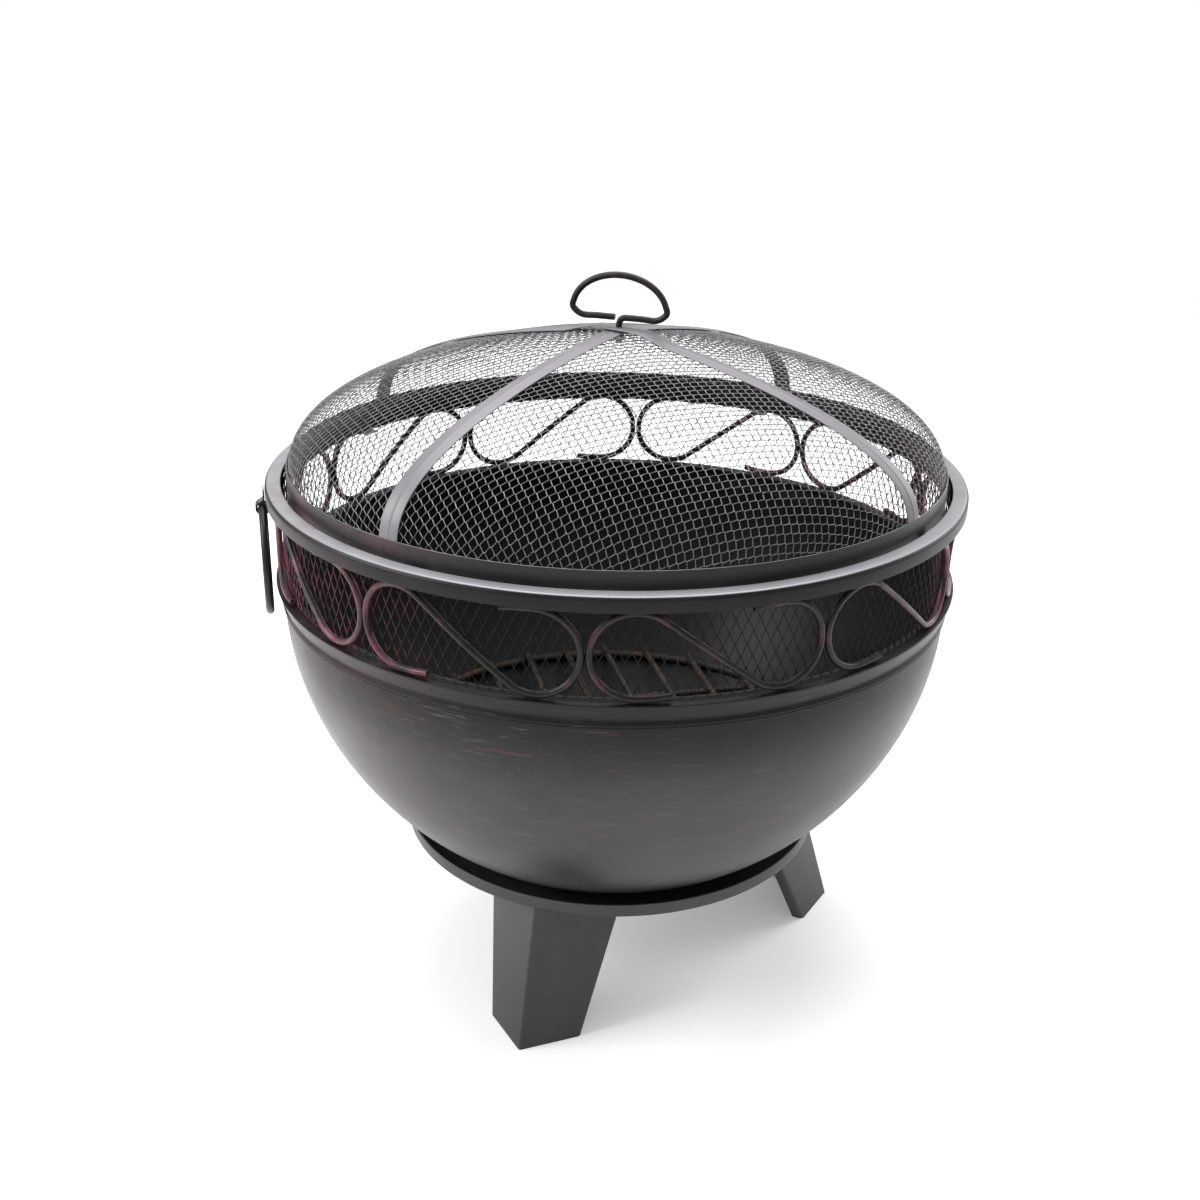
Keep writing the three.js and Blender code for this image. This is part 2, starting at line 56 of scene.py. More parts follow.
class Tone:
    """One value or colour of a finish. Sums written with it add the nodes that work them out."""

    def __init__(self, tree, socket=None):
        self.tree = tree
        self.socket = socket

    def make(self, kind, settings, inputs, output=0):
        node = self.tree.nodes.new(kind)
        for name, value in settings.items():
            setattr(node, name, value)
        for name, value in inputs.items():
            if isinstance(value, Tone):
                self.tree.links.new(value.socket, node.inputs[name])
            else:
                node.inputs[name].default_value = value
        return Tone(self.tree, node.outputs[output])

    def sum_with(self, operation, first, second):
        return self.make("ShaderNodeMath", {"operation": operation}, {0: first, 1: second})

    def __add__(self, other):
        return self.sum_with("ADD", self, other)

    def __radd__(self, other):
        return self.sum_with("ADD", other, self)

    def __sub__(self, other):
        return self.sum_with("SUBTRACT", self, other)

    def __rsub__(self, other):
        return self.sum_with("SUBTRACT", other, self)

    def __mul__(self, other):
        return self.sum_with("MULTIPLY", self, other)

    def __rmul__(self, other):
        return self.sum_with("MULTIPLY", other, self)


def new_finish(name):
    """A finish's material, its shader, and the place on the piece, in metres."""
    material = bpy.data.materials.new(name)
    material.use_nodes = True
    shader = material.node_tree.nodes["Principled BSDF"]
    start = Tone(material.node_tree)
    place = start.make("ShaderNodeTexCoord", {}, {}, "Object")
    return material, shader, place


def feed(shader, name, tone):
    tone.tree.links.new(tone.socket, shader.inputs[name])


def rising(tone, low, high):
    """From 0 at low to 1 at high, eased at both ends."""
    settings = {"interpolation_type": "SMOOTHSTEP"}
    return tone.make("ShaderNodeMapRange", settings, {"Value": tone, "From Min": low, "From Max": high})


def blended(share, under, over):
    """One colour over another, by a share from 0 to 1."""
    settings = {"data_type": "RGBA", "clamp_factor": True}
    return share.make("ShaderNodeMix", settings, {0: share, 6: under, 7: over}, 2)


def mottle(place, grain, detail=3.0, roughness=0.55):
    """Noise that is grain[i] marks to the metre along each axis."""
    spread = place.make("ShaderNodeVectorMath", {"operation": "MULTIPLY"}, {0: place, 1: grain})
    inputs = {"Vector": spread, "Scale": 1.0, "Detail": detail, "Roughness": roughness}
    return place.make("ShaderNodeTexNoise", {}, inputs, "Fac")


def part_of(place, axis):
    """The place along one axis."""
    return place.make("ShaderNodeSeparateXYZ", {}, {0: place}, axis)


def roughened(shader, height, depth):
    """Gives the shader the relief of a height, of that depth in metres."""
    inputs = {"Height": height, "Distance": depth, "Strength": 1.0}
    feed(shader, "Normal", height.make("ShaderNodeBump", {}, inputs))


def away_from_axis(place):
    """The level direction from the pit's axis to a place."""
    flat = place.make("ShaderNodeVectorMath", {"operation": "MULTIPLY"}, {0: place, 1: (1, 1, 0)})
    return flat.make("ShaderNodeVectorMath", {"operation": "NORMALIZE"}, {0: flat})


def along_way(tone, way):
    """How far one direction goes along another, from -1 to 1."""
    settings = {"operation": "DOT_PRODUCT"}
    return tone.make("ShaderNodeVectorMath", settings, {0: tone, 1: way}, "Value")


def sheen_near(place, bearing):
    """1 at a bearing and at the one across the pit from it, falling to 0 to each side."""
    way = (math.sin(math.radians(bearing)), -math.cos(math.radians(bearing)), 0)
    facing = along_way(away_from_axis(place), way)
    facing = facing.make("ShaderNodeMath", {"operation": "ABSOLUTE"}, {0: facing})
    return rising(facing, 0.82, 0.985)


def side_sheen(place, strength):
    """Where the painted bronze sheen goes: the two sides of the pit, beside the ring handles."""
    return (sheen_near(place, -68) + sheen_near(place, 74)) * strength


def facing_in(place):
    """1 where a surface looks in towards the pit's axis, where painted shade darkens it."""
    normal = place.make("ShaderNodeNewGeometry", {}, {}, "Normal")
    return rising(0 - along_way(normal, away_from_axis(place)), 0.02, 0.2)


enamel_charcoal = (0.024, 0.023, 0.024, 1)
enamel_worn = (0.080, 0.075, 0.074, 1)
# painted shade: a near-black laid on the collar and everything above it
painted_top_shade = (0.007, 0.0065, 0.007, 1)
stone_chip = (0.30, 0.29, 0.28, 1)
# bronze paint for brushed streaks, also laid on the pit's sides as a painted sheen
bronze_paint_and_sheen = (0.120, 0.034, 0.044, 1)
# painted shade on faces that look in towards the pit's axis
painted_inward_shade = (0.006, 0.006, 0.006, 1)


def enamel(name, worn, streak, bronze_strength, gloss=0.42):
    """Charcoal stove enamel with brushed streaks, painted shade near its top and on faces that look in,
    and a painted bronze sheen on its sides.
    """
    material, shader, place = new_finish(name)
    cloud = mottle(place, (9, 9, 14), 4)
    brushed = mottle(place, (26, 26, 330), 5, 0.65)
    streaks = rising(brushed, 0.54, 0.74) * rising(cloud, 0.42, 0.62)
    warm = rising(mottle(place, (19, 19, 260), 4, 0.6), 0.60, 0.74) * rising(cloud, 0.38, 0.55)
    specks = rising(mottle(place, (520, 520, 520), 1), 0.76, 0.80)
    colour = blended(rising(cloud, 0.3, 0.7) * 0.34 * worn, enamel_charcoal, enamel_worn)
    # painted shade: darker towards the top of the bowl, on the collar and the band
    top_shade = rising(part_of(place, 2), 0.310, 0.392)
    colour = blended(top_shade * 0.85, colour, painted_top_shade)
    colour = blended(streaks * streak, colour, enamel_worn)
    colour = blended(specks * 0.35, colour, stone_chip)
    # painted bronze sheen on the pit's two sides
    bronze_mask = side_sheen(place, bronze_strength) * rising(mottle(place, (60, 60, 60), 3), 0.36, 0.60)
    colour = blended(warm * streak * 0.55 + bronze_mask, colour, bronze_paint_and_sheen)
    # painted shade on faces that look in towards the axis
    inward_shade = facing_in(place) * (0.75 + rising(cloud, 0.3, 0.7) * 0.2)
    colour = blended(inward_shade, colour, painted_inward_shade)
    feed(shader, "Base Color", colour)
    feed(shader, "Roughness", gloss + rising(cloud, 0.3, 0.7) * 0.10 - streaks * 0.05 + inward_shade * 0.3)
    grain = mottle(place, (900, 900, 900), 2) + brushed * 1.4
    roughened(shader, grain, 0.00006)
    feed(shader, "Coat Weight", 0.26 - top_shade * 0.20)
    shader.inputs["Metallic"].default_value = 0.55
    shader.inputs["Specular IOR Level"].default_value = 0.32
    shader.inputs["Coat Roughness"].default_value = 0.35
    return material


def rounded(corners, steps=5, closed=True):
    """An outline of (across, up, bend radius) corners, each bent to its radius."""
    outline = []
    last = len(corners) - 1
    for i, (x, y, bend) in enumerate(corners):
        if bend == 0 or (not closed and i in (0, last)):
            outline.append((x, y))
            continue
        here = Vector((x, y))
        before = (Vector(corners[i - 1][:2]) - here).normalized()
        after = (Vector(corners[(i + 1) % len(corners)][:2]) - here).normalized()
        half = before.angle(after) / 2
        reach = bend / math.tan(half)
        centre = here + (before + after).normalized() * bend / math.sin(half)
        first = here + before * reach - centre
        turn = first.angle_signed(here + after * reach - centre)
        for k in range(steps + 1):
            swing = first.copy()
            swing.rotate(Matrix.Rotation(-turn * k / steps, 2))
            outline.append(tuple(centre + swing))
    return outline


def spun(profile, steps=216):
    """Points and faces of a closed profile of (radius, height), spun about the axis."""
    profile = np.array(profile, float)
    turn = np.arange(steps) * 2 * math.pi / steps
    points = np.stack([
        np.outer(np.cos(turn), profile[:, 0]),
        np.outer(np.sin(turn), profile[:, 0]),
        np.outer(np.ones(steps), profile[:, 1]),
    ], axis=2).reshape(-1, 3)
    count = len(profile)
    faces = []
    for i in range(steps):
        j = (i + 1) % steps
        for k in range(count):
            n = (k + 1) % count
            faces.append((i * count + k, j * count + k, j * count + n, i * count + n))
    return points, faces


def turned_to(points, bearing):
    """Points whose own +X points outwards, turned to a bearing."""
    turn = math.radians(bearing - 90)
    cos, sin = math.cos(turn), math.sin(turn)
    points = np.array(points, float)
    x, y = points[:, 0].copy(), points[:, 1].copy()
    points[:, 0] = x * cos - y * sin
    points[:, 1] = x * sin + y * cos
    return points


def fit_piece(name, shape, material, body, node, crease=38):
    """Makes a piece's mesh in metres, facing out, and fixes it to its body in place of its node."""
    points, faces = shape
    mesh = bpy.data.meshes.new(name)
    mesh.from_pydata((np.array(points) / 1000).tolist(), [], faces)
    mesh.validate()
    work = bmesh.new()
    work.from_mesh(mesh)
    bmesh.ops.remove_doubles(work, verts=work.verts, dist=1e-7)
    bmesh.ops.recalc_face_normals(work, faces=work.faces)
    work.to_mesh(mesh)
    work.free()
    mesh.polygons.foreach_set("use_smooth", [True] * len(mesh.polygons))
    mesh.set_sharp_from_angle(angle=math.radians(crease))
    piece = bpy.data.objects.new(name, mesh)
    bpy.context.scene.collection.objects.link(piece)
    mesh.materials.append(material)
    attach(piece, body)
    if node:
        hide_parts(node)
    return piece


bowl_radius = 320
bowl_widest = 389
bowl_depth = 306
bowl_fullness = 1.91
bowl_wall = 2.2
ledge_top = 413.7
ledge_inner = 311.5


def bowl_curve(angle, inset=0.0):
    """A point of the bowl's curve, from the bottom (0) to the widest part (90)."""
    a = math.radians(angle)
    power = 2 / bowl_fullness
    radius = (bowl_radius - inset) * max(0.0, math.sin(a)) ** power
    return radius, bowl_widest - (bowl_depth - inset) * max(0.0, math.cos(a)) ** power


wall_outside = [bowl_curve(90 * i / 72) for i in range(73)]
bead_and_collar = rounded([
    (320.0, 389.0, 0), (321.9, 390.2, 0.7), (321.2, 391.8, 0.5), (322.5, 393.2, 0.7),
    (321.6, 395.3, 0.6), (320.9, 397.2, 0.8), (322.0, 399.2, 0.6), (326.4, 411.0, 1.2),
    (327.0, 413.0, 0.7), (ledge_inner, ledge_top, 0.4), (ledge_inner, ledge_top - bowl_wall, 0.4),
    (322.6, 410.8, 1.0), (317.8, 392.0, 2.0), (317.8, 389.0, 0),
], closed=False)
wall_inside = [bowl_curve(90 * i / 60, bowl_wall) for i in range(60, -1, -1)]
# the bowl's enamel carries painted shade on its collar and inward faces, and painted bronze sheen on its
# sides
bowl_finish = enamel("bowl_enamel", 1.0, 0.8, 0.12)
bowl_profile = wall_outside + bead_and_collar[1:-1] + wall_inside
fit_piece("bowl_shell", spun(bowl_profile), bowl_finish, "fire_pit", "bowl")

# ---------------------------------------------------------------- mesh band
# The gallery's wall is a band of expanded steel, with tall diamonds, rolled into a ring. It stands
# on the ledge and is welded to it and to the rim. It gets the same enamel as the bowl.


def net(cells, place):
    """A net's cells, as points and faces. place puts a cell's corner on the net's surface."""
    corners = {}
    points = []
    faces = []
    for cell in cells:
        face = []
        for corner in cell:
            if corner not in corners:
                corners[corner] = len(points)
                points.append(place(corner))
            if corners[corner] not in face:
                face.append(corners[corner])
        if len(face) > 2:
            faces.append(face)
    return points, faces


def weave_piece(name, shape, material, body, node, strand):
    """A net whose cells are opened out, with strands of that thickness round them."""
    piece = fit_piece(name, shape, material, body, node)
    wires = piece.modifiers.new("strands", "WIREFRAME")
    wires.thickness = strand / 1000
    wires.use_even_offset = False
    wires.use_boundary = True
    graph = bpy.context.evaluated_depsgraph_get()
    woven = bpy.data.meshes.new_from_object(piece.evaluated_get(graph))
    piece.modifiers.clear()
    piece.data = woven
    woven.name = name
    woven.polygons.foreach_set("use_smooth", [True] * len(woven.polygons))


band_radius = 317.3
band_foot = 414.0
band_top = 505.2
band_columns = 192
band_strand = 1.25
band_tuck = 0.6
diamond_rise = 21.2


def band_place(corner):
    column, row = corner
    turn = math.pi * column / band_columns
    low, high = band_foot + band_tuck, band_top - band_tuck
    height = min(max(low + row * diamond_rise / 2, low), high)
    return band_radius * math.cos(turn), band_radius * math.sin(turn), height


def band_cells():
    """Diamonds in staggered columns, cut off level at the band's foot and top."""
    rows = math.ceil((band_top - band_foot) / (diamond_rise / 2))
    for column in range(2 * band_columns):
        for row in range(-1, rows + 1):
            if (column + row) % 2 == 0:
                left, right = column, (column + 2) % (2 * band_columns)
                middle = (column + 1) % (2 * band_columns)
                yield (left, row), (middle, row - 1), (right, row), (middle, row + 1)


# the band's bronze on the pit's sides is painted sheen
band_finish = enamel("band_enamel", 0.5, 0.3, 0.75, 0.5)
weave_piece("expanded_band", net(band_cells(), band_place), band_finish,
            "fire_pit", "mesh_band", band_strand)

# ---------------------------------------------------------------- scrolls
# Ten S-scrolls of 6 mm rod are bent cold, with their free ends cut square. They stand on the
# ledge round the band, side by side, and are welded to it. Their bronze rub and the painted
# bronze sheen on the pit's sides show most on them.

def swept(path, outline, facing, closed=False):
    """An outline of (out, across) points carried along a path; facing gives its out direction."""
    path = [Vector(p) for p in path]
    points = []
    count = len(path)
    for i, here in enumerate(path):
        if closed:
            along = path[(i + 1) % count] - path[i - 1]
        else:
            along = path[min(i + 1, count - 1)] - path[max(i - 1, 0)]
        along.normalize()
        out = Vector(facing(here))
        out = (out - along * out.dot(along)).normalized()
        across = along.cross(out)
        section = outline(i, count) if callable(outline) else outline
        points.extend(tuple(here + out * u + across * v) for u, v in section)
    size = len(points) // count
    faces = []
    for i in range(count if closed else count - 1):
        j = (i + 1) % count
        for k in range(size):
            n = (k + 1) % size
            faces.append((i * size + k, i * size + n, j * size + n, j * size + k))
    if not closed:
        faces.append(tuple(range(size)))
        faces.append(tuple((count - 1) * size + k for k in range(size)))
    return points, faces


def rod_section(diameter, sides=14):
    """A round section, drawn in a little at each end of the rod as a cut end is."""
    ring = [(math.cos(2 * math.pi * k / sides), math.sin(2 * math.pi * k / sides)) for k in range(sides)]

    def section(i, count):
        size = diameter / 2 * (0.90 if i in (0, count - 1) else 1.0)
        return [(x * size, y * size) for x, y in ring]

    return section


def with_cut_ends(path, chamfer=0.35):
    """A path with one more point close to each end, where the rod's chamfer starts."""
    path = [Vector(p) for p in path]
    start = path[0] + (path[1] - path[0]).normalized() * chamfer
    finish = path[-1] + (path[-2] - path[-1]).normalized() * chamfer
    return [path[0], start, *path[1:-1], finish, path[-1]]


def smooth_path(points, steps):
    """A smooth curve through the points, in so many steps from each to the next."""
    points = [Vector(p) for p in points]
    ends = [points[0] * 2 - points[1], *points, points[-1] * 2 - points[-2]]
    path = []
    for a, b, c, d in zip(ends, ends[1:], ends[2:], ends[3:]):
        for k in range(steps):
            t = k / steps
            path.append(0.5 * (2 * b + (c - a) * t + (2 * a - 5 * b + 4 * c - d) * t ** 2
                               + (3 * b - a - 3 * c + d) * t ** 3))
    return [*path, points[-1]]


rod_black = (0.012, 0.011, 0.012, 1)
rod_grey = (0.033, 0.031, 0.032, 1)
# rod bronze for the rub, also used for the painted bronze sheen on the pit's sides
rod_bronze_and_sheen = (0.150, 0.052, 0.067, 1)


def rod_finish(name, bronze_strength):
    """Enamelled rod with a satin sheen, a bronze rub in patches, and a painted bronze sheen along it on
    the sides of the pit.
    """
    material, shader, place = new_finish(name)
    cloud = mottle(place, (30, 30, 30), 4)
    drawn = mottle(place, (240, 240, 240), 3)
    touched = rising(cloud, 0.50, 0.64) * 0.22 * bronze_strength
    # real rub in patches, plus painted bronze sheen on the pit's sides
    bronze_mask = touched + side_sheen(place, bronze_strength * 0.60) * rising(cloud, 0.36, 0.60)
    colour = blended(rising(drawn, 0.45, 0.75) * 0.4, rod_black, rod_grey)
    colour = blended(bronze_mask, colour, rod_bronze_and_sheen)
    feed(shader, "Base Color", colour)
    feed(shader, "Roughness", 0.36 + rising(drawn, 0.3, 0.7) * 0.12)
    roughened(shader, drawn + mottle(place, (900, 900, 900), 2) * 0.5, 0.00010)
    shader.inputs["Metallic"].default_value = 0.5
    shader.inputs["Specular IOR Level"].default_value = 0.3
    shader.inputs["Coat Weight"].default_value = 0.12
    shader.inputs["Coat Roughness"].default_value = 0.3
    return material


scroll_rod = 6.0
scroll_radius = 321.4
scroll_middle = 453.75
scroll_loop = 36.75
scroll_centre = 60.92
end_opening = 8.4
end_sweep = 39.0
scroll_count = 10
first_scroll = 0.2


def scroll_path():
    """Down one loop from its free end, across the middle and round the other loop."""
    leave = math.degrees(math.acos(scroll_loop / scroll_centre))
    half = []
    for i in range(19):
        angle = -90 + end_sweep + (leave - 360 + 90 - end_sweep) * i / 18
        reach = scroll_loop + end_opening * max(0.0, (angle + 90) / end_sweep) ** 2
        a = math.radians(angle)
        half.append((-scroll_centre + reach * math.cos(a), reach * math.sin(a)))
    flat = [*half, (0.0, 0.0), *[(-x, -z) for x, z in reversed(half)]]
    points = []
    for x, z in flat:
        turn = x / scroll_radius
        points.append((scroll_radius * math.cos(turn), scroll_radius * math.sin(turn), scroll_middle + z))
    return with_cut_ends(smooth_path(points, 5))


def outward(point):
    return point.x, point.y, 0


scroll_steel = rod_finish("scroll_enamel", 1.0)
scroll_points, scroll_faces = swept(scroll_path(), rod_section(scroll_rod), outward)
for i in range(scroll_count):
    name = f"scroll_{i + 1:02d}"
    bearing = first_scroll + 360 * i / scroll_count
    fit_piece(name + "_rod", (turned_to(scroll_points, bearing), scroll_faces), scroll_steel,
              "fire_pit", name)

# ---------------------------------------------------------------- top rim
# The rim is rolled from sheet: a flat top, a rounded outer corner and a skirt that turns down
# over the scrolls. It is sprayed with the bowl; a painted highlight lightens its top, and a little
# painted bronze sheen lies on the pit's sides.

rim_outer = 331.5
rim_inner = 316.5
rim_top = 507.5
skirt_foot = 494.0
rim_sheet = 2.0


# painted highlight colour for upward faces
painted_top_light = (0.35, 0.345, 0.365, 1)


def satin(name, base, light, bronze_strength=0.0, gloss=0.36, metal=0.55, top=0.0, shine=0.5):
    """Satin enamel on a pressed or rolled piece, with a painted highlight on its upward faces by a share
    and a painted bronze sheen on the pit's sides.
    """
    material, shader, place = new_finish(name)
    cloud = mottle(place, (12, 12, 12), 4)
    fine = mottle(place, (700, 700, 700), 2)
    brushed = mottle(place, (38, 38, 420), 4, 0.6)
    colour = blended(rising(cloud, 0.32, 0.68) * 0.5 + rising(brushed, 0.55, 0.75) * 0.25, base, light)
    # painted highlight: upward faces lighter
    if top:
        upward = part_of(place.make("ShaderNodeNewGeometry", {}, {}, "Normal"), 2)
        colour = blended(rising(upward, 0.75, 0.97) * top, colour, painted_top_light)
    # painted bronze sheen on the pit's sides
    if bronze_strength:
        bronze_mask = side_sheen(place, bronze_strength) * rising(mottle(place, (45, 45, 45), 3), 0.44, 0.66)
        colour = blended(bronze_mask, colour, bronze_paint_and_sheen)
    feed(shader, "Base Color", colour)
    feed(shader, "Roughness", gloss + rising(cloud, 0.3, 0.7) * 0.10)
    roughened(shader, fine + brushed * 0.6, 0.00005)
    shader.inputs["Metallic"].default_value = metal
    shader.inputs["Specular IOR Level"].default_value = shine
    shader.inputs["Coat Weight"].default_value = 0.3 * shine
    shader.inputs["Coat Roughness"].default_value = 0.3
    return material


rim_profile = rounded([
    (rim_outer - rim_sheet, skirt_foot, 0.5), (rim_outer, skirt_foot, 0.5),
    (rim_outer, rim_top, 4.0), (rim_inner, rim_top, 1.0),
    (rim_inner, rim_top - rim_sheet, 0.5), (rim_outer - rim_sheet, rim_top - rim_sheet, 2.0),
], 7)
# the rim's top carries a painted highlight and its sides a little painted bronze sheen
rim_finish = satin("rim_enamel", (0.010, 0.009, 0.010, 1), (0.021, 0.020, 0.022, 1), 0.10,
                   gloss=0.42, top=0.85, shine=0.26)
fit_piece("rolled_rim", spun(rim_profile), rim_finish, "fire_pit", "top_rim")

# ---------------------------------------------------------------- lid rests
# Four bent strips welded inside the band carry the spark screen on their feet. They are cut from
# the same sheet as the rim and enamelled with it.

rest_width = 16.0
rest_sheet = 1.6
rest_back = 315.5
rest_front = rest_back - 11.5


def extruded(outline, width):
    """An outline of (out, up) points made into a strip of that width, square across the radius."""
    points = [(x, -width / 2, z) for x, z in outline] + [(x, width / 2, z) for x, z in outline]
    count = len(outline)
    faces = [tuple(range(count)), tuple(reversed(range(count, 2 * count)))]
    for k in range(count):
        n = (k + 1) % count
        faces.append((k, k + count, n + count, n))
    return points, faces


for i in range(4):
    low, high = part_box(f"lid_rest_{i + 1}")
    foot, top = low.z * 1000, high.z * 1000
    shelf = foot + rest_sheet
    rest_outline = rounded([
        (rest_back, top, 0.4), (rest_back, foot, 2.4), (rest_front, foot, 0.4),
        (rest_front, shelf, 0.4), (rest_back - rest_sheet, shelf, 0.8),
        (rest_back - rest_sheet, top, 0.4),
    ], 5)
    rest_points, rest_faces = extruded(rest_outline, rest_width)
    fit_piece(f"rest_strip_{i + 1}", (turned_to(rest_points, 45 + 90 * i), rest_faces), rim_finish,
              "fire_pit", f"lid_rest_{i + 1}")

# ---------------------------------------------------------------- ring handles
# Each handle is a ring of 8 mm rod, butt welded, that hangs in a rolled strap eye. The eye's flat
# is welded to the rim's skirt. The rod is enamelled and its bronze rub has worn to a satin grey.

pivot_out = 334.2
pivot_up = 487.4
ring_radius = 49.6
ring_rod = 8.0
eye_strip = 1.7
eye_roll = 4.9 + eye_strip / 2
eye_width = 12.0

eye_back = rim_outer + 0.3 + eye_strip / 2
eye_path = [(eye_back, 0, skirt_foot + 11.0 - 11.0 * k / 4) for k in range(4)]
eye_path.append((eye_back + 0.7, 0, 494.6))
for k in range(34):
    a = math.radians(64 - 9 * k)
    eye_path.append((pivot_out + eye_roll * math.cos(a), 0, pivot_up + eye_roll * math.sin(a)))


def eye_section(i, count):
    half, thick = eye_width / 2, eye_strip / 2
    return [(thick, -half + 0.3), (thick, half - 0.3), (thick - 0.3, half), (-thick + 0.3, half),
            (-thick, half - 0.3), (-thick, -half + 0.3), (-thick + 0.3, -half), (thick - 0.3, -half)]


def eye_side(point):
    """Out of the strip: away from the skirt on its flat and away from the rod round the roll."""
    along = Vector((point.x - pivot_out, 0, point.z - pivot_up))
    return (1, 0, 0) if point.z > 495.5 else along


ring_path = []
for k in range(96):
    a = 2 * math.pi * k / 96
    ring_height = pivot_up - ring_radius + ring_radius * math.cos(a)
    ring_path.append((pivot_out, ring_radius * math.sin(a), ring_height))


def from_ring(point):
    return 0, point.y, point.z - pivot_up + ring_radius


ring_finish = rod_finish("handle_enamel", 0.0)
for side, bearing in (("left", -90), ("right", 90)):
    eye_points, eye_faces = swept(eye_path, eye_section, eye_side)
    fit_piece(f"rolled_eye_{side}", (turned_to(eye_points, bearing), eye_faces), rim_finish,
              "fire_pit", f"handle_eye_{side}")
    ring_points, ring_faces = swept(ring_path, rod_section(ring_rod, 20), from_ring, True)
    fit_piece(f"ring_{side}", (turned_to(ring_points, bearing), ring_faces), ring_finish,
              f"ring_handle_{side}", f"side_handle_{side}")

# ---------------------------------------------------------------- stand hoop
# The hoop is an angle ring: a level flange that reaches in under the bowl and an upright wall.
# It carries the bowl's tabs and is welded to the tops of the legs. It is enamelled a plain grey.

hoop_foot = 135.8
hoop_top = 149.3
hoop_sheet = 2.5
hoop_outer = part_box("base_hoop")[1].x * 1000
hoop_inner = hoop_outer - 34.2
flange_edge = hoop_inner - 2.2
stand_dark = (0.027, 0.027, 0.028, 1)
stand_light = (0.052, 0.052, 0.053, 1)
hoop_profile = rounded([
    (flange_edge, hoop_foot, 0.5), (hoop_outer, hoop_foot, 2.5), (hoop_outer, hoop_top, 0.7),
    (hoop_outer - hoop_sheet, hoop_top, 0.7), (hoop_outer - hoop_sheet, hoop_foot + hoop_sheet, 0.8),
    (flange_edge, hoop_foot + hoop_sheet, 0.5),
], 5)
stand_finish = satin("stand_enamel", stand_dark, stand_light, gloss=0.45, metal=0.4)
fit_piece("hoop_ring", spun(hoop_profile), stand_finish, "fire_pit", "base_hoop")

# ---------------------------------------------------------------- legs
# Each leg is 2.5 mm sheet folded to a square outward arris, with a flange turned in along each
# edge. It narrows to its foot, and its top is cut to the bowl and welded under the hoop.

leg_sheet = 2.5
leg_half = 48
leg_depth = 41.5
leg_flange = 12
leg_widening = 1.465
foot_arris = hoop_outer + 37
top_arris = hoop_outer - 2.3
leg_top = hoop_foot - 0.3
leg_steps = 24
leg_bearings = (-33.2, 86.8, 206.8)


def leg_outline(arris, size):
    """The folded sheet in plan, with its bends, at the foot (size 1) or the top."""
    half, depth = leg_half * size, leg_depth * size
    edge = math.hypot(leg_half, leg_depth)
    along, across = leg_depth / edge, leg_half / edge
    bend = (arris - depth, half)
    tip = (bend[0] - leg_flange * across, bend[1] - leg_flange * along)
    lip = (tip[0] + leg_sheet * along, tip[1] - leg_sheet * across)
    crook = (bend[0] + leg_sheet * (along - across), bend[1] - leg_sheet * (along + across))
    one_side = [(*bend, 5.0), (*tip, 0.5), (*lip, 0.5), (*crook, 2.5)]
    other_side = [(x, -y, radius) for x, y, radius in reversed(one_side)]
    outside, inside = (arris, 0, 2.6), (arris - leg_sheet / across, 0, 0.6)
    return rounded([outside, *one_side, inside, *other_side], 5)


def cradle(radius):
    """How low the bowl is at a radius, less the gap under it."""
    gap = 0.9
    u = min(radius / (bowl_radius + gap), 1.0)
    return bowl_widest - (bowl_depth + gap) * (1 - u ** bowl_fullness) ** (1 / bowl_fullness)


def reach_under_bowl(x0, y0, x1, y1):
    """How far up its full height an upright line of the leg gets before it meets the bowl."""
    for k in range(60):
        t = 0.6 + 0.4 * k / 59
        if leg_top * t > cradle(math.hypot(x0 + (x1 - x0) * t, y0 + (y1 - y0) * t)):
            return 0.6 + 0.4 * (k - 1) / 59
    return 1.0


foot_plan = leg_outline(foot_arris, 1.0)
top_plan = leg_outline(top_arris, leg_widening)
leg_points = []
for (x0, y0), (x1, y1) in zip(foot_plan, top_plan):
    reach = reach_under_bowl(x0, y0, x1, y1)
    for k in range(leg_steps + 1):
        t = reach * k / leg_steps
        leg_points.append((x0 + (x1 - x0) * t, y0 + (y1 - y0) * t, leg_top * t))
leg_faces = []
columns = len(foot_plan)
for i in range(columns):
    j = (i + 1) % columns
    for k in range(leg_steps):
        a, b = i * (leg_steps + 1) + k, j * (leg_steps + 1) + k
        leg_faces.append((a, b, b + 1, a + 1))
leg_faces.append(tuple(i * (leg_steps + 1) for i in range(columns)))
leg_faces.append(tuple(i * (leg_steps + 1) + leg_steps for i in range(columns)))
for i, bearing in enumerate(leg_bearings):
    fit_piece(f"folded_leg_{i + 1}", (turned_to(leg_points, bearing), leg_faces), stand_finish,
              "fire_pit", f"leg_{i + 1}")

# ---------------------------------------------------------------- tabs, bolts and nuts
# A flat tab under the bowl beside each leg is welded to the hoop's flange. A zinc-plated bolt
# with a domed head passes through the bowl and the tab, and is drawn up by a nut below.

bolt_radius = hoop_inner - 17.8
bolt_angle = math.degrees(math.asin((bolt_radius / bowl_radius) ** (bowl_fullness / 2)))
near, far = bowl_curve(bolt_angle - 0.1), bowl_curve(bolt_angle + 0.1)
bolt_slope = math.atan2(far[1] - near[1], far[0] - near[0])
bolt_height = bowl_curve(bolt_angle)[1]


def on_slope(points):
    """Points of (along, across, depth below the bowl's outside) put on the bowl's slope."""
    cos, sin = math.cos(bolt_slope), math.sin(bolt_slope)
    return [(bolt_radius + x * cos + d * sin, y, bolt_height + x * sin - d * cos) for x, y, d in points]


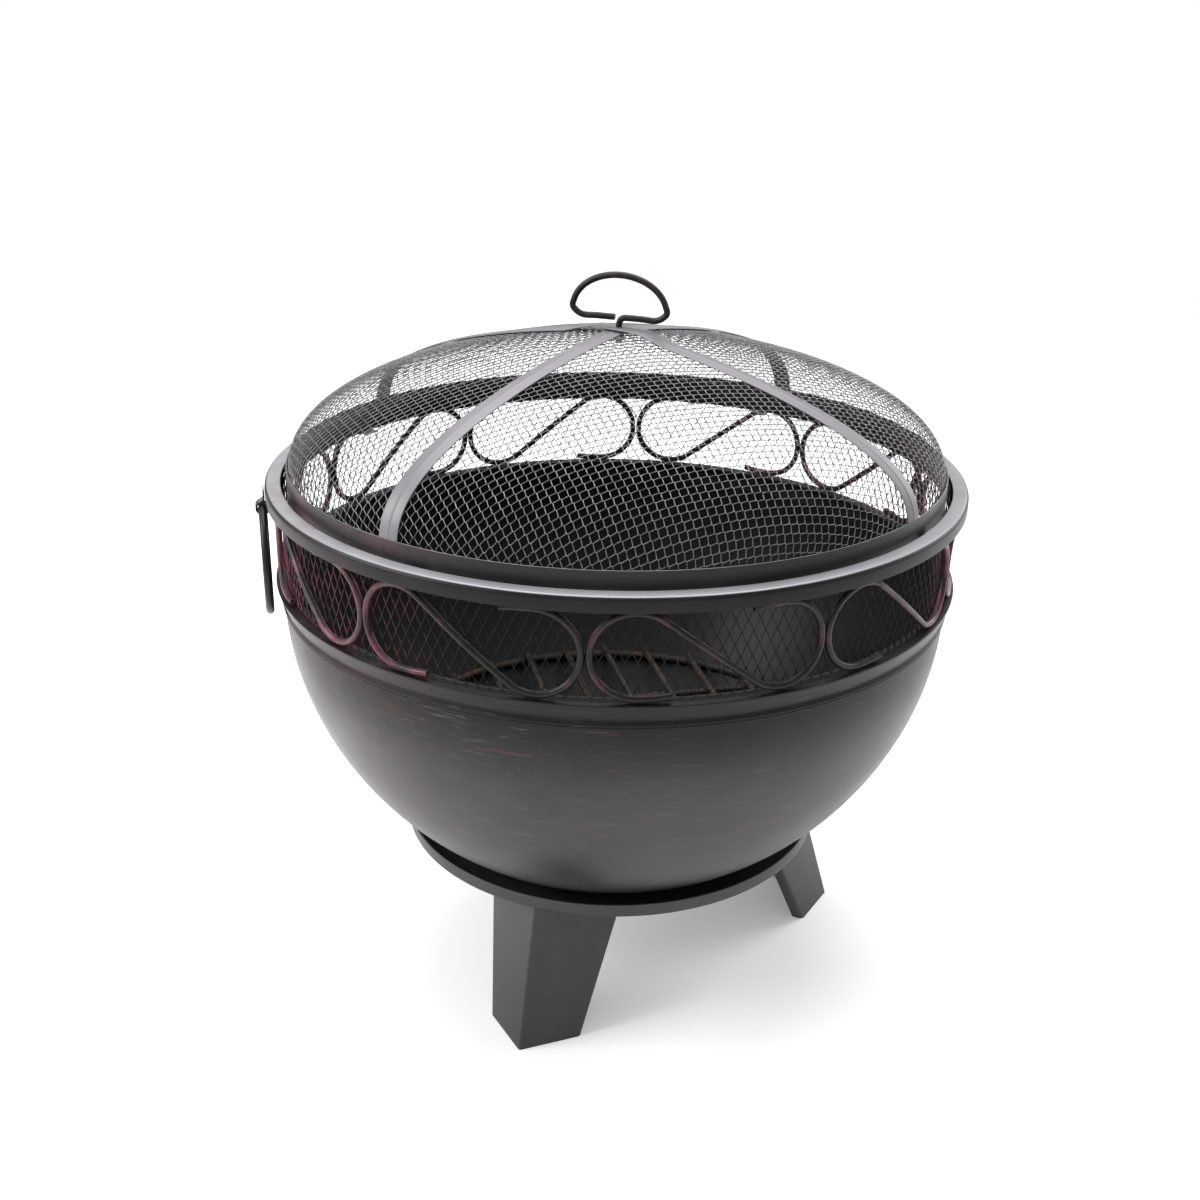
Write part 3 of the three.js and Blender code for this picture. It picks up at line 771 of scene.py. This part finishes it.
def plated(name):
    """Bright zinc plate with a fine crystalline grain, dulled in places."""
    material, shader, place = new_finish(name)
    dull = mottle(place, (180, 180, 180), 4)
    grain = mottle(place, (1400, 1400, 1400), 2)
    colour = blended(rising(dull, 0.35, 0.65), (0.52, 0.52, 0.50, 1), (0.33, 0.33, 0.31, 1))
    feed(shader, "Base Color", colour)
    feed(shader, "Roughness", 0.24 + rising(dull, 0.35, 0.65) * 0.20)
    roughened(shader, grain, 0.00004)
    shader.inputs["Metallic"].default_value = 1.0
    return material


tab_width = 24.0
tab_front = 0.7
tab_back = 3.2
tab_reach = math.sqrt((hoop_inner - 0.4) ** 2 - (tab_width / 2) ** 2) - 0.3
tab_end = (tab_reach - bolt_radius - tab_back * math.sin(bolt_slope)) / math.cos(bolt_slope)
tab_outline = rounded([
    (-13.0, tab_front, 0.4), (-13.0, tab_back, 0.4), (tab_end, tab_back, 0), (tab_end, tab_front, 0),
], 4)
tab_points, tab_faces = extruded(tab_outline, tab_width)
plate_finish = plated("zinc_plate")
head_profile = [(0, -7.0), (2.2, -6.9), (4.2, -6.4), (5.6, -5.6), (6.4, -4.5), (6.5, -4.1),
                (6.3, -3.9), (5.2, -3.8), (5.2, -2.3), (3.0, -2.3), (3.0, 10.2), (2.6, 10.6), (0, 10.6)]
nut_profile = [(3.2, 3.5), (5.1, 3.5), (5.77, 4.1), (5.77, 7.9), (5.1, 8.5), (3.2, 8.5)]
bolt_points, bolt_faces = spun(head_profile, 32)
nut_points, nut_faces = spun(nut_profile, 6)
for i, bearing in enumerate(leg_bearings):
    number = i + 1
    fit_piece(f"tab_plate_{number}", (turned_to(on_slope(tab_points), bearing), tab_faces),
              stand_finish, "fire_pit", f"bowl_tab_{number}")
    fit_piece(f"domed_bolt_{number}", (turned_to(on_slope(bolt_points), bearing), bolt_faces),
              plate_finish, "fire_pit", f"bowl_bolt_{number}")
    fit_piece(f"hex_nut_{number}", (turned_to(on_slope(nut_points), bearing), nut_faces),
              plate_finish, "fire_pit", f"bowl_nut_{number}")

# ---------------------------------------------------------------- log grate
# The grate is a ring of 8 mm rod with nine bars welded over it and two cross bars under them. It
# is bare steel, scaled by the fire, and lies loose on the bowl's wall.


def scaled_steel(name):
    """Bare steel browned and scaled by fire, with rust in its hollows."""
    material, shader, place = new_finish(name)
    scale = mottle(place, (110, 110, 110), 6, 0.65)
    rust = mottle(place, (45, 45, 45), 5, 0.6)
    colour = blended(rising(scale, 0.35, 0.65), (0.022, 0.020, 0.019, 1), (0.060, 0.052, 0.048, 1))
    colour = blended(rising(rust, 0.50, 0.66) * 0.6, colour, (0.120, 0.055, 0.030, 1))
    feed(shader, "Base Color", colour)
    feed(shader, "Roughness", 0.62 + rising(scale, 0.3, 0.7) * 0.25)
    roughened(shader, scale + mottle(place, (600, 600, 600), 3) * 0.5, 0.00035)
    shader.inputs["Metallic"].default_value = 0.45
    return material


grate_finish = scaled_steel("scaled_steel")
low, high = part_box("grate_ring")
grate_rod = 8.0
grate_bar = 7.0
grate_radius = high.x * 1000 - grate_rod / 2
grate_height = (low.z + high.z) * 500
circle = []
for k in range(144):
    a = 2 * math.pi * k / 144
    circle.append((grate_radius * math.cos(a), grate_radius * math.sin(a), grate_height))
fit_piece("grate_hoop", swept(circle, rod_section(grate_rod, 18), outward, True), grate_finish,
          "log_grate", "grate_ring")


def upward(point):
    return 0, 0, 1


def bar_piece(name, node, axis):
    """A straight 7 mm bar with chamfered ends, where its CAD node lies."""
    low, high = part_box(node)
    middle = (low + high) * 500
    path = []
    for k in range(9):
        spot = middle.copy()
        spot[axis] = (low[axis] + (high[axis] - low[axis]) * k / 8) * 1000
        path.append(spot)
    shape = swept(with_cut_ends(path, 0.6), rod_section(grate_bar, 16), upward)
    fit_piece(name, shape, grate_finish, "log_grate", node)


for i in range(9):
    bar_piece(f"bar_{i + 1}", f"grate_bar_{i + 1}", 1)
for i in range(2):
    bar_piece(f"cross_bar_{i + 1}", f"grate_cross_bar_{i + 1}", 0)

# ---------------------------------------------------------------- spark screen band
# The screen's foot is a rolled band of 1.5 mm strip. It drops inside the rim on to the rests, and
# its top edge is dressed round. The mesh is tucked in behind the edge and welded.

lid_outer = 311.4
lid_sheet = 1.5
lid_foot = 490.5
lid_top = 521.5
lid_profile = rounded([
    (lid_outer - lid_sheet, lid_foot, 0.5), (lid_outer, lid_foot, 0.5),
    (lid_outer, lid_top, 0.7), (lid_outer - lid_sheet, lid_top, 0.7),
], 5)
# the band's top edge carries a painted highlight and its sides a painted bronze sheen
lid_finish = satin("screen_band_enamel", (0.016, 0.015, 0.017, 1), (0.032, 0.030, 0.033, 1), 0.35,
                   top=0.6)
fit_piece("rolled_band", spun(lid_profile), lid_finish, "spark_screen", "lid_band")

# ---------------------------------------------------------------- spark screen mesh
# The dome is fine expanded mesh, pressed over a former from one flat blank, so its openings are
# even at the crown and are drawn a little narrower at the foot. It is enamelled grey.

mesh_radius = 309.5
mesh_foot = 515.5
mesh_rise = 122.0
crown_peak = 1.25
shoulder = 2.35
opening_long = 11.0
opening_short = 10.6
bond = 1.5
mesh_half = 0.75
mesh_strand = 1.0
blank_turn = math.radians(-36)


def dome_height(radius, out=0.0):
    """The height of the mesh's outside at a radius, moved out by a distance."""
    u = min(radius / (mesh_radius + out), 1.0)
    return mesh_foot + (mesh_rise + out) * (1 - u ** crown_peak) ** (1 / shoulder)


edge_radius = mesh_radius - mesh_half
radii = [mesh_radius * (1 - (1 - k / 1500) ** 2.5) for k in range(1501)]
heights = [dome_height(r, -mesh_half) if r < edge_radius else mesh_foot for r in radii]
radii = [min(r, edge_radius) for r in radii]
drawn = np.concatenate([[0], np.cumsum(np.hypot(np.diff(radii), np.diff(heights)))])


def dome_place(corner):
    """A corner of an opening, from its place on the flat blank to the pressed dome."""
    column, row, end = corner
    p = column * opening_long / 2 + end * bond / 2
    q = row * opening_short / 2
    reach = min(math.hypot(p, q), drawn[-1])
    turn = math.atan2(q, p) + blank_turn
    radius = float(np.interp(reach, drawn, radii))
    return radius * math.cos(turn), radius * math.sin(turn), float(np.interp(reach, drawn, heights))


def dome_cells(quarter):
    """The openings of one quarter of the blank, each with six sides: four strands and two bonds."""
    columns = math.ceil(drawn[-1] / (opening_long / 2)) + 1
    rows = math.ceil(drawn[-1] / (opening_short / 2)) + 1
    for m in range(-columns, columns + 1):
        for n in range(-rows, rows + 1):
            if (m + n) % 2 or (m >= 0) * 2 + (n >= 0) != quarter:
                continue
            near_long = max(abs(m) - 1, 0) * opening_long / 2
            near_short = max(abs(n) - 1, 0) * opening_short / 2
            if math.hypot(near_long, near_short) < drawn[-1]:
                yield ((m + 1, n, -1), (m, n + 1, 1), (m, n + 1, -1),
                       (m - 1, n, 1), (m, n - 1, -1), (m, n - 1, 1))


def mesh_enamel(name):
    """Grey enamel on fine mesh, lighter and darker grey in a fine grain, and sooted in patches."""
    material, shader, place = new_finish(name)
    cloud = mottle(place, (24, 24, 24), 4)
    grain = mottle(place, (420, 420, 420), 2)
    colour = blended(rising(grain, 0.35, 0.65), (0.105, 0.103, 0.106, 1), (0.22, 0.215, 0.22, 1))
    colour = blended(rising(cloud, 0.52, 0.72) * 0.6, colour, (0.060, 0.055, 0.057, 1))
    feed(shader, "Base Color", colour)
    feed(shader, "Roughness", 0.34 + rising(cloud, 0.3, 0.7) * 0.12)
    shader.inputs["Metallic"].default_value = 0.7
    return material


mesh_finish = mesh_enamel("screen_mesh_enamel")
for quarter in range(4):
    node = "lid_mesh" if quarter == 0 else None
    weave_piece(f"screen_mesh_{quarter + 1}", net(dome_cells(quarter), dome_place), mesh_finish,
                "spark_screen", node, mesh_strand)

# ---------------------------------------------------------------- screen straps
# Two straps of 20 mm strip, rolled with a ridge along the middle, cross at the crown and are
# welded to the band's top edge. They carry the handle and hold the mesh to its shape.

strap_clearance = 0.5
strap_sheet = 2.0
crossing = 16
hump_end = 60
strap_dark = (0.150, 0.142, 0.154, 1)
strap_light = (0.215, 0.205, 0.222, 1)
strap_section = [(1.0, 0.0), (0.92, 0.45), (0.56, 1.3), (0.48, 2.4), (0.24, 9.0), (0.04, 9.75),
                 (-0.3, 10.0), (-0.75, 10.0), (-1.0, 9.7), (-0.6, 0.0), (-1.0, -9.7),
                 (-0.75, -10.0), (-0.3, -10.0), (0.04, -9.75), (0.24, -9.0), (0.48, -2.4),
                 (0.56, -1.3), (0.92, -0.45)]


def evenly(path, gap):
    """The path again, with its points about a gap apart."""
    path = np.array(path, float)
    run = np.concatenate([[0], np.cumsum(np.linalg.norm(np.diff(path, axis=0), axis=1))])
    stops = np.linspace(0, run[-1], max(2, round(run[-1] / gap)))
    return np.stack([np.interp(stops, run, path[:, k]) for k in range(3)], axis=1)


def strap_path(is_upper):
    """The middle of a strap's sheet, from the band over the crown to the band again."""
    out = strap_clearance + strap_sheet / 2
    raised = mesh_foot + mesh_rise + out + strap_sheet + 0.3
    side = []
    for k in range(401):
        radius = (mesh_radius + out) * (1 - (1 - k / 400) ** 2.5)
        height = dome_height(radius, out)
        if height < lid_top + 0.3:
            break
        if is_upper:
            t = min(max((radius - crossing) / (hump_end - crossing), 0.0), 1.0)
            height = raised + (height - raised) * t * t * (3 - 2 * t)
        side.append((radius, 0.0, height))
    side.append((mesh_radius + out, 0.0, lid_top + 0.3))
    return evenly([*[(-x, y, z) for x, y, z in reversed(side[1:])], *side], 3.0)


def above(point):
    """Up at the crown and outwards at the feet."""
    return point.x * 4, 0, max(point.z - lid_top, 0.0) * 12 + 1


strap_finish = satin("strap_enamel", strap_dark, strap_light, gloss=0.50, metal=0.35)
for name, node, bearing, is_upper in (("lower", "lid_strap_lower", -49.9, False),
                                      ("upper", "lid_strap_upper", 40.1, True)):
    strap_points, strap_faces = swept(strap_path(is_upper), strap_section, above)
    fit_piece(f"ridged_strap_{name}", (turned_to(strap_points, bearing), strap_faces), strap_finish,
              "spark_screen", node, 22)

# ---------------------------------------------------------------- screen handle
# The handle is one 6 mm rod: a threaded stem through the straps, bent into the bar, round the
# loop and back to the stem, where it is cut square. A plated nut holds it under the mesh.

bar_height = 650.8
loop_half = 46.0
loop_rise = 32.4
handle_rod = 6.0
handle_bearing = 56.1
stem_foot = 627.0
handle_points = [(0, stem_foot), (0, 636), (0, bar_height - 7.5), (0.5, bar_height - 4.2),
                 (2.2, bar_height - 1.5), (5.2, bar_height - 0.2), (9, bar_height), (23, bar_height),
                 (37, bar_height)]
for k in range(15):
    a = math.pi * k / 14
    handle_points.append((loop_half * math.cos(a), bar_height + 6.4 + loop_rise * math.sin(a)))
handle_points += [(-37, bar_height), (-22, bar_height), (-4.4, bar_height)]
handle_path = with_cut_ends(smooth_path([(x, 0, z) for x, z in handle_points], 5))


def level_side(point):
    return 0, 1, 0


loop_points, loop_faces = swept(handle_path, rod_section(handle_rod, 18), level_side)
handle_finish = rod_finish("screen_handle_enamel", 0.12)
fit_piece("looped_handle", (turned_to(loop_points, handle_bearing), loop_faces), handle_finish,
          "spark_screen", "lid_handle")
stem_nut = [(3.2, 630.0), (5.1, 630.0), (5.77, 630.6), (5.77, 634.4), (5.1, 635.0), (3.2, 635.0)]
nut_points, nut_faces = spun(stem_nut, 6)
fit_piece("stem_nut", (turned_to(nut_points, handle_bearing), nut_faces), plate_finish,
          "spark_screen", "lid_handle_nut")

# ---------------------------------------------------------------- floor, light and camera
# The pit stands on a round, pale studio floor that fades into white air. A large soft light is up
# on the left, with a fill on the right and a broad light overhead.

floor_mesh = bpy.data.meshes.new("studio_floor")
floor_reach = 3.6
floor_rim = []
for i in range(256):
    a = math.radians(360 * i / 256)
    floor_rim.append((floor_reach * math.cos(a), floor_reach * math.sin(a), 0))
floor_mesh.from_pydata(floor_rim, [], [tuple(range(256))])
floor = bpy.data.objects.new("studio_floor", floor_mesh)
bpy.context.scene.collection.objects.link(floor)
floor_paint, floor_shader, floor_place = new_finish("studio_paint")
floor_shade = blended(rising(mottle(floor_place, (2, 2, 2), 2), 0.3, 0.7),
                      (0.90, 0.90, 0.90, 1), (0.92, 0.92, 0.92, 1))
feed(floor_shader, "Base Color", floor_shade)
floor_shader.inputs["Roughness"].default_value = 0.9
floor_shader.inputs["Emission Color"].default_value = (1, 1, 1, 1)
floor_shader.inputs["Emission Strength"].default_value = 0.22
floor_mesh.materials.append(floor_paint)

world = bpy.data.worlds.new("studio_air")
bpy.context.scene.world = world
world.use_nodes = True
sky = world.node_tree.nodes["Background"]
seen = Tone(world.node_tree).make("ShaderNodeLightPath", {}, {}, "Is Camera Ray")
world.node_tree.links.new((0.58 + seen * 0.42).socket, sky.inputs["Strength"])
sky.inputs["Color"].default_value = (1, 1, 1, 1)


def soft_light(name, spot, aim, size, power):
    light = bpy.data.lights.new(name, "AREA")
    light.shape = "DISK"
    light.size = size
    light.energy = power
    lamp = bpy.data.objects.new(name, light)
    lamp.location = spot
    lamp.rotation_euler = (Vector(aim) - Vector(spot)).to_track_quat("-Z", "Y").to_euler()
    bpy.context.scene.collection.objects.link(lamp)


soft_light("left_light", (-2.7, 0.1, 2.0), (0, 0, 0.4), 2.0, 85)
soft_light("right_light", (2.6, 0.9, 1.5), (0, 0, 0.4), 2.0, 42)
soft_light("overhead_light", (0.1, 0.7, 3.0), (0, 0, 0.3), 3.0, 105)

lens = bpy.data.cameras.new("studio_camera")
lens.lens = 45
lens.sensor_width = 36
lens.dof.use_dof = False
camera = bpy.data.objects.new("studio_camera", lens)
camera.matrix_world = (
    Matrix.Translation((-0.3317, -1.3402, 0.9436))
    @ Matrix.Rotation(math.radians(-13.33), 4, "Z")
    @ Matrix.Rotation(math.radians(90 - 22.66), 4, "X")
    @ Matrix.Rotation(math.radians(0.88), 4, "Z")
)
bpy.context.scene.collection.objects.link(camera)
bpy.context.scene.camera = camera
bpy.context.scene.view_settings.view_transform = "Standard"
